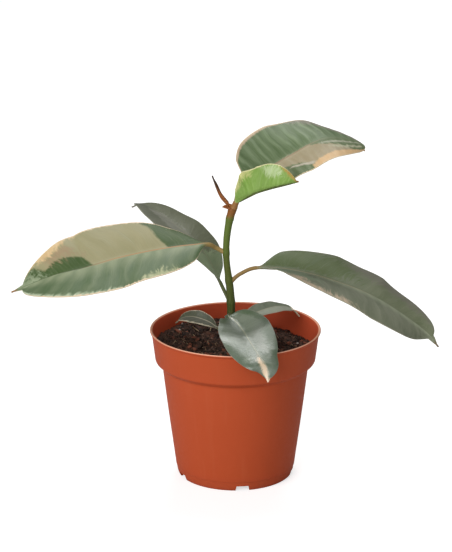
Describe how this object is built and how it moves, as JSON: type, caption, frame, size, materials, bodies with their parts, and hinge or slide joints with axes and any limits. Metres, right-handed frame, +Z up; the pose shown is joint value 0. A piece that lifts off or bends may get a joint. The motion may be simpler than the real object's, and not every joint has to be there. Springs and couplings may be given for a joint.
{
  "type": "potted rubber plant",
  "caption": "Young variegated rubber plant: broad glossy leaves on one bent green stem, growing in soil in a round tapered plastic nursery pot.",
  "frame": {"origin": "middle of the pot's underside, on the surface it stands on, at the centre of the mount base", "axes": "+Z up along the pot's axis, +X towards the plant's right as seen from its front, -Y towards the front"},
  "size_m": [0.2582, 0.1191, 0.2121],
  "materials": {
    "pot_plastic": "satin moulded terracotta-coloured plastic",
    "soil": "rough dark peat with bark chips",
    "stem_bark": "satin young green bark with brown leaf scars",
    "leaf_left": "glossy leaf, tan and cream patches on green",
    "leaf_right": "glossy grey-green leaf with cream and pink margin patches",
    "leaf_back_left": "glossy dark grey-green leaf",
    "leaf_top": "glossy green leaf with cream margin and tan patch",
    "leaf_new": "soft glossy lime green young leaf with yellow edge",
    "leaf_front": "very glossy silver green leaf with a dry cream tip",
    "leaf_low_left": "glossy grey-green leaf with cream edges",
    "leaf_low_right": "glossy grey-green leaf with cream edges",
    "dry_sheath": "dry red-brown sheath"
  },
  "bodies": {
    "root": {"pot": "pot_plastic", "soil": "soil", "stem": "stem_bark", "leaf_left": "leaf_left", "leaf_right": "leaf_right", "leaf_back_left": "leaf_back_left", "leaf_top": "leaf_top", "leaf_new": "leaf_new", "leaf_front": "leaf_front", "leaf_low_left": "leaf_low_left", "leaf_low_right": "leaf_low_right", "bud_sheath": "dry_sheath", "bud_sheath_lobe": "dry_sheath"}
  },
  "joints": []
}
